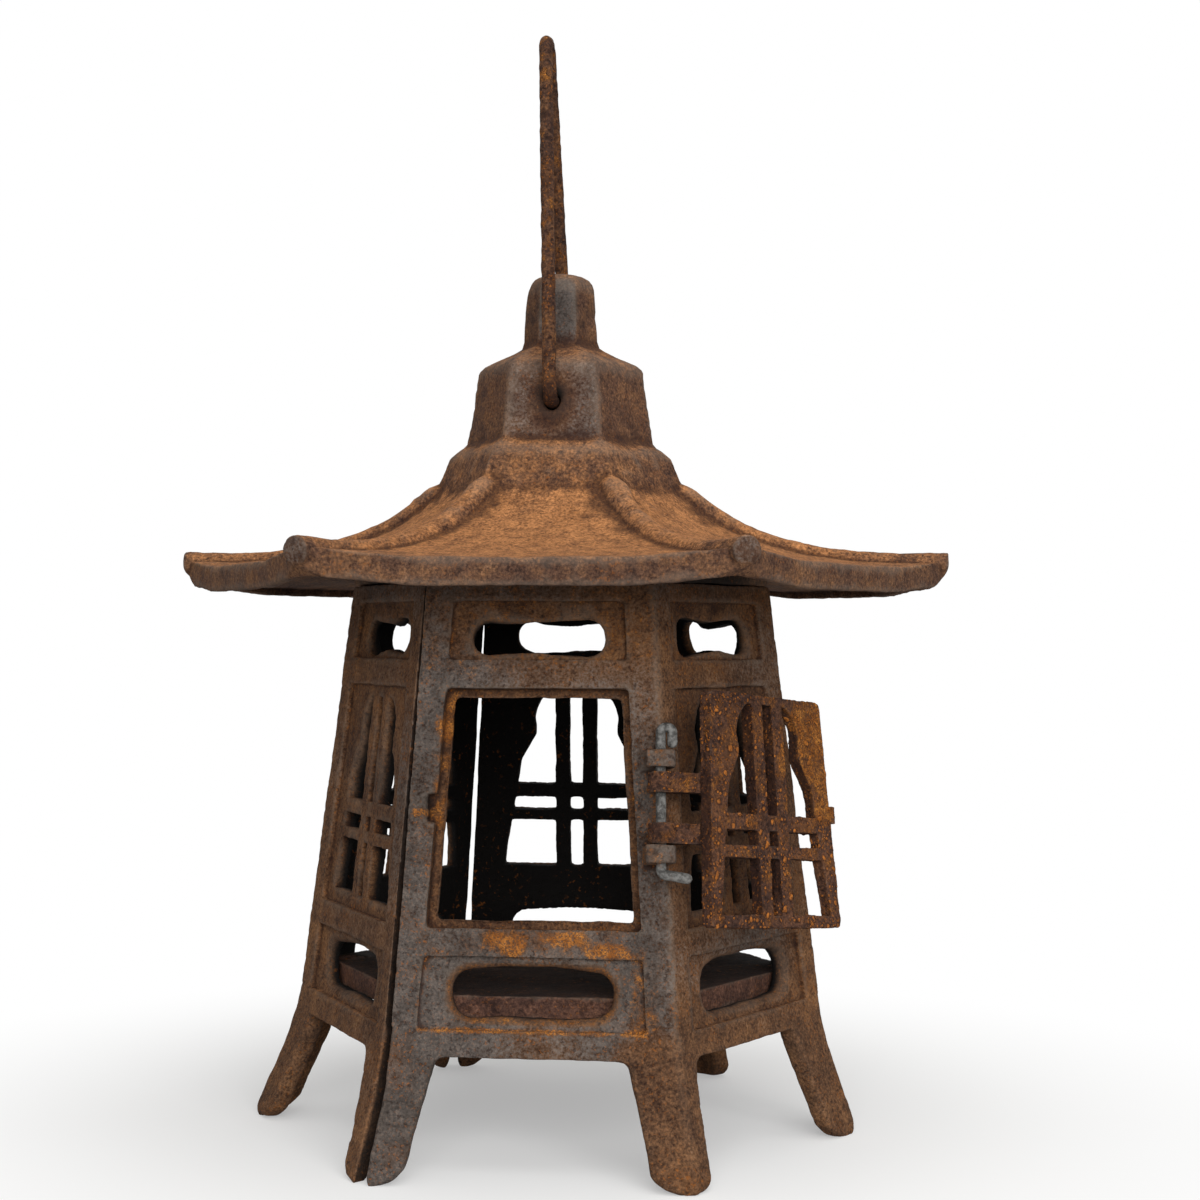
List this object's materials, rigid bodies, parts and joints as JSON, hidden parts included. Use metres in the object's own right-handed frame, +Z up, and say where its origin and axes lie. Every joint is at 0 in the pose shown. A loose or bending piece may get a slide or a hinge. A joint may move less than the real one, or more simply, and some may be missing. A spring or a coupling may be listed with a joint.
{
  "type": "temple lantern",
  "caption": "Hexagonal cast iron temple lantern with a stepped roof, lattice panels, splayed legs, a hinged lattice door and a swinging bail, for a candle.",
  "frame": {"origin": "on the floor under the middle of the lantern", "axes": "+Z up, -Y out of the door panel, +X towards the door's hinge side"},
  "size_m": [0.254, 0.224, 0.3589],
  "materials": {
    "roof_iron": "dusty brown rust",
    "body_iron": "slate grey with rust",
    "door_iron": "blistered orange rust",
    "floor_iron": "dark brown rust",
    "bail_iron": "pitted dark rust",
    "zinc_wire": "weathered zinc",
    "screw_steel": "rusted steel"
  },
  "bodies": {
    "lantern": {"roof": "roof_iron", "front_casting": "body_iron", "left_casting": "body_iron", "rear_casting": "body_iron", "floor_plate": "floor_iron", "hinge_pin": "zinc_wire", "roof_screw_1": "screw_steel", "roof_screw_2": "screw_steel", "roof_screw_3": "screw_steel", "floor_screw_1": "screw_steel", "floor_screw_2": "screw_steel", "floor_screw_3": "screw_steel", "floor_nut_1": "screw_steel", "floor_nut_2": "screw_steel", "floor_nut_3": "screw_steel"},
    "bail": {"bail": "bail_iron"},
    "door": {"door": "door_iron"}
  },
  "joints": [
    {"name": "bail_swing", "type": "hinge", "parent": "lantern", "child": "bail", "pos_m": [0, 0, 0.23452], "axis": [0, 1, 0], "range_deg": [-107.7, 112.3]},
    {"name": "door_swing", "type": "hinge", "parent": "lantern", "child": "door", "pos_m": [0.0379, -0.07459, 0.11016], "axis": [-0.0157, 0.1551, 0.9878], "range_deg": [-232, 7]}
  ]
}
